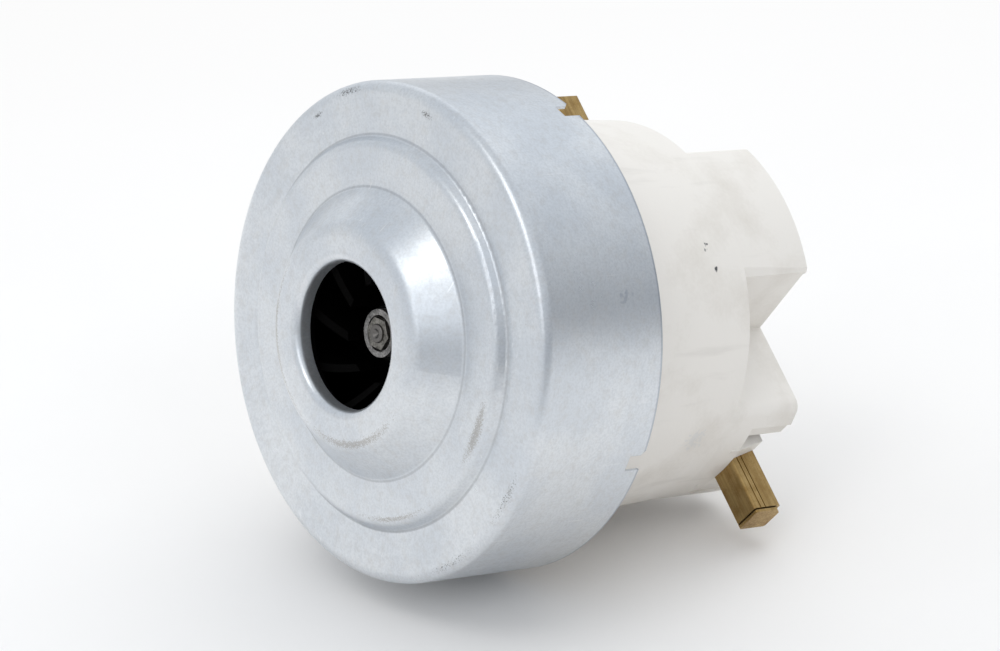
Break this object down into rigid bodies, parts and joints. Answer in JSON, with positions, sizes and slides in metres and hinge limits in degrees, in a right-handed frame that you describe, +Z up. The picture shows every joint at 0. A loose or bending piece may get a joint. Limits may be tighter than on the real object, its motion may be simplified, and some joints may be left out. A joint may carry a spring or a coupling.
{
  "type": "vacuum cleaner suction motor",
  "caption": "Single stage suction motor with a stepped steel fan cover, drafted plastic housing, cross shaped rear box and radial brush sleeves.",
  "frame": {"origin": "on the shaft axis, half way along the straight side of the fan cover", "axes": "+Y along the shaft from the air inlet to the rear bearing, +Z up, the brush sleeves 40 degrees below +X and above -X"},
  "size_m": [0.135, 0.1314, 0.135],
  "materials": {
    "zinc_steel": "zinc plated sheet steel, satin",
    "white_plastic": "warm white glass filled plastic, matt",
    "sleeve_brass": "aged brass, satin",
    "black_plastic": "black moulded plastic",
    "dull_steel": "dull steel",
    "bracket_steel": "plated pressed steel",
    "bearing_steel": "ground bearing steel",
    "shaft_steel": "ground steel",
    "lamination": "stacked steel laminations",
    "insulation": "insulating board",
    "winding_copper": "enamelled copper",
    "rubber_black": "moulded rubber",
    "carbon": "pressed carbon",
    "spring_steel": "spring steel"
  },
  "bodies": {
    "stator": {"fan_cover": "zinc_steel", "diffuser": "black_plastic", "front_bearing_bracket": "bracket_steel", "bracket_screws": "dull_steel", "front_bearing_outer_ring": "bearing_steel", "front_bearing_shields": "dull_steel", "rear_bearing_outer_ring": "bearing_steel", "rear_bearing_shields": "dull_steel", "rear_bearing_rubber_cap": "rubber_black", "rear_bearing_bridge": "bracket_steel", "rear_bridge_screws": "dull_steel", "housing": "white_plastic", "stator_core": "lamination", "stator_screws": "dull_steel", "field_coil_a": "winding_copper", "field_coil_b": "winding_copper", "coil_bobbin_a": "insulation", "coil_bobbin_b": "insulation", "brush_sleeve_a": "sleeve_brass", "brush_sleeve_b": "sleeve_brass", "brush_holder_a": "black_plastic", "brush_holder_b": "black_plastic", "brush_spring_a": "spring_steel", "brush_spring_b": "spring_steel", "brush_lead_a": "winding_copper", "brush_lead_b": "winding_copper", "terminal_a": "sleeve_brass", "terminal_b": "sleeve_brass"},
    "rotor": {"shaft": "shaft_steel", "impeller": "black_plastic", "impeller_shroud": "black_plastic", "impeller_washer": "dull_steel", "impeller_nut": "dull_steel", "impeller_spacer": "dull_steel", "front_bearing_inner_ring": "bearing_steel", "rear_bearing_inner_ring": "bearing_steel", "armature_core": "lamination", "armature_insulator_front": "insulation", "armature_insulator_rear": "insulation", "armature_winding": "winding_copper", "commutator_hub": "black_plastic", "commutator_bars": "winding_copper"},
    "front_cage": {"front_bearing_balls": "bearing_steel", "front_bearing_cage": "dull_steel"},
    "rear_cage": {"rear_bearing_balls": "bearing_steel", "rear_bearing_cage": "dull_steel"},
    "brush_a": {"carbon_brush_a": "carbon"},
    "brush_b": {"carbon_brush_b": "carbon"}
  },
  "joints": [
    {"name": "rotor_spin", "type": "hinge", "parent": "stator", "child": "rotor", "pos_m": [0, 0, 0], "axis": [0, 1, 0], "continuous": true},
    {"name": "front_cage_spin", "type": "hinge", "parent": "stator", "child": "front_cage", "pos_m": [0, 0, 0], "axis": [0, 1, 0], "continuous": true},
    {"name": "rear_cage_spin", "type": "hinge", "parent": "stator", "child": "rear_cage", "pos_m": [0, 0, 0], "axis": [0, 1, 0], "continuous": true},
    {"name": "brush_a_slide", "type": "slide", "parent": "stator", "child": "brush_a", "axis": [0.766, 0, -0.6428], "range_m": [0, 0.008], "stiffness_N_per_m": 60, "springref_m": -0.035, "deforming": ["brush_spring_a", "brush_lead_a"]},
    {"name": "brush_b_slide", "type": "slide", "parent": "stator", "child": "brush_b", "axis": [-0.766, 0, 0.6428], "range_m": [0, 0.008], "stiffness_N_per_m": 60, "springref_m": -0.035, "deforming": ["brush_spring_b", "brush_lead_b"]}
  ],
  "couplings": [
    {"joint": "front_cage_spin", "follows": "rotor_spin", "ratio": 0.368},
    {"joint": "rear_cage_spin", "follows": "rotor_spin", "ratio": 0.36539}
  ]
}
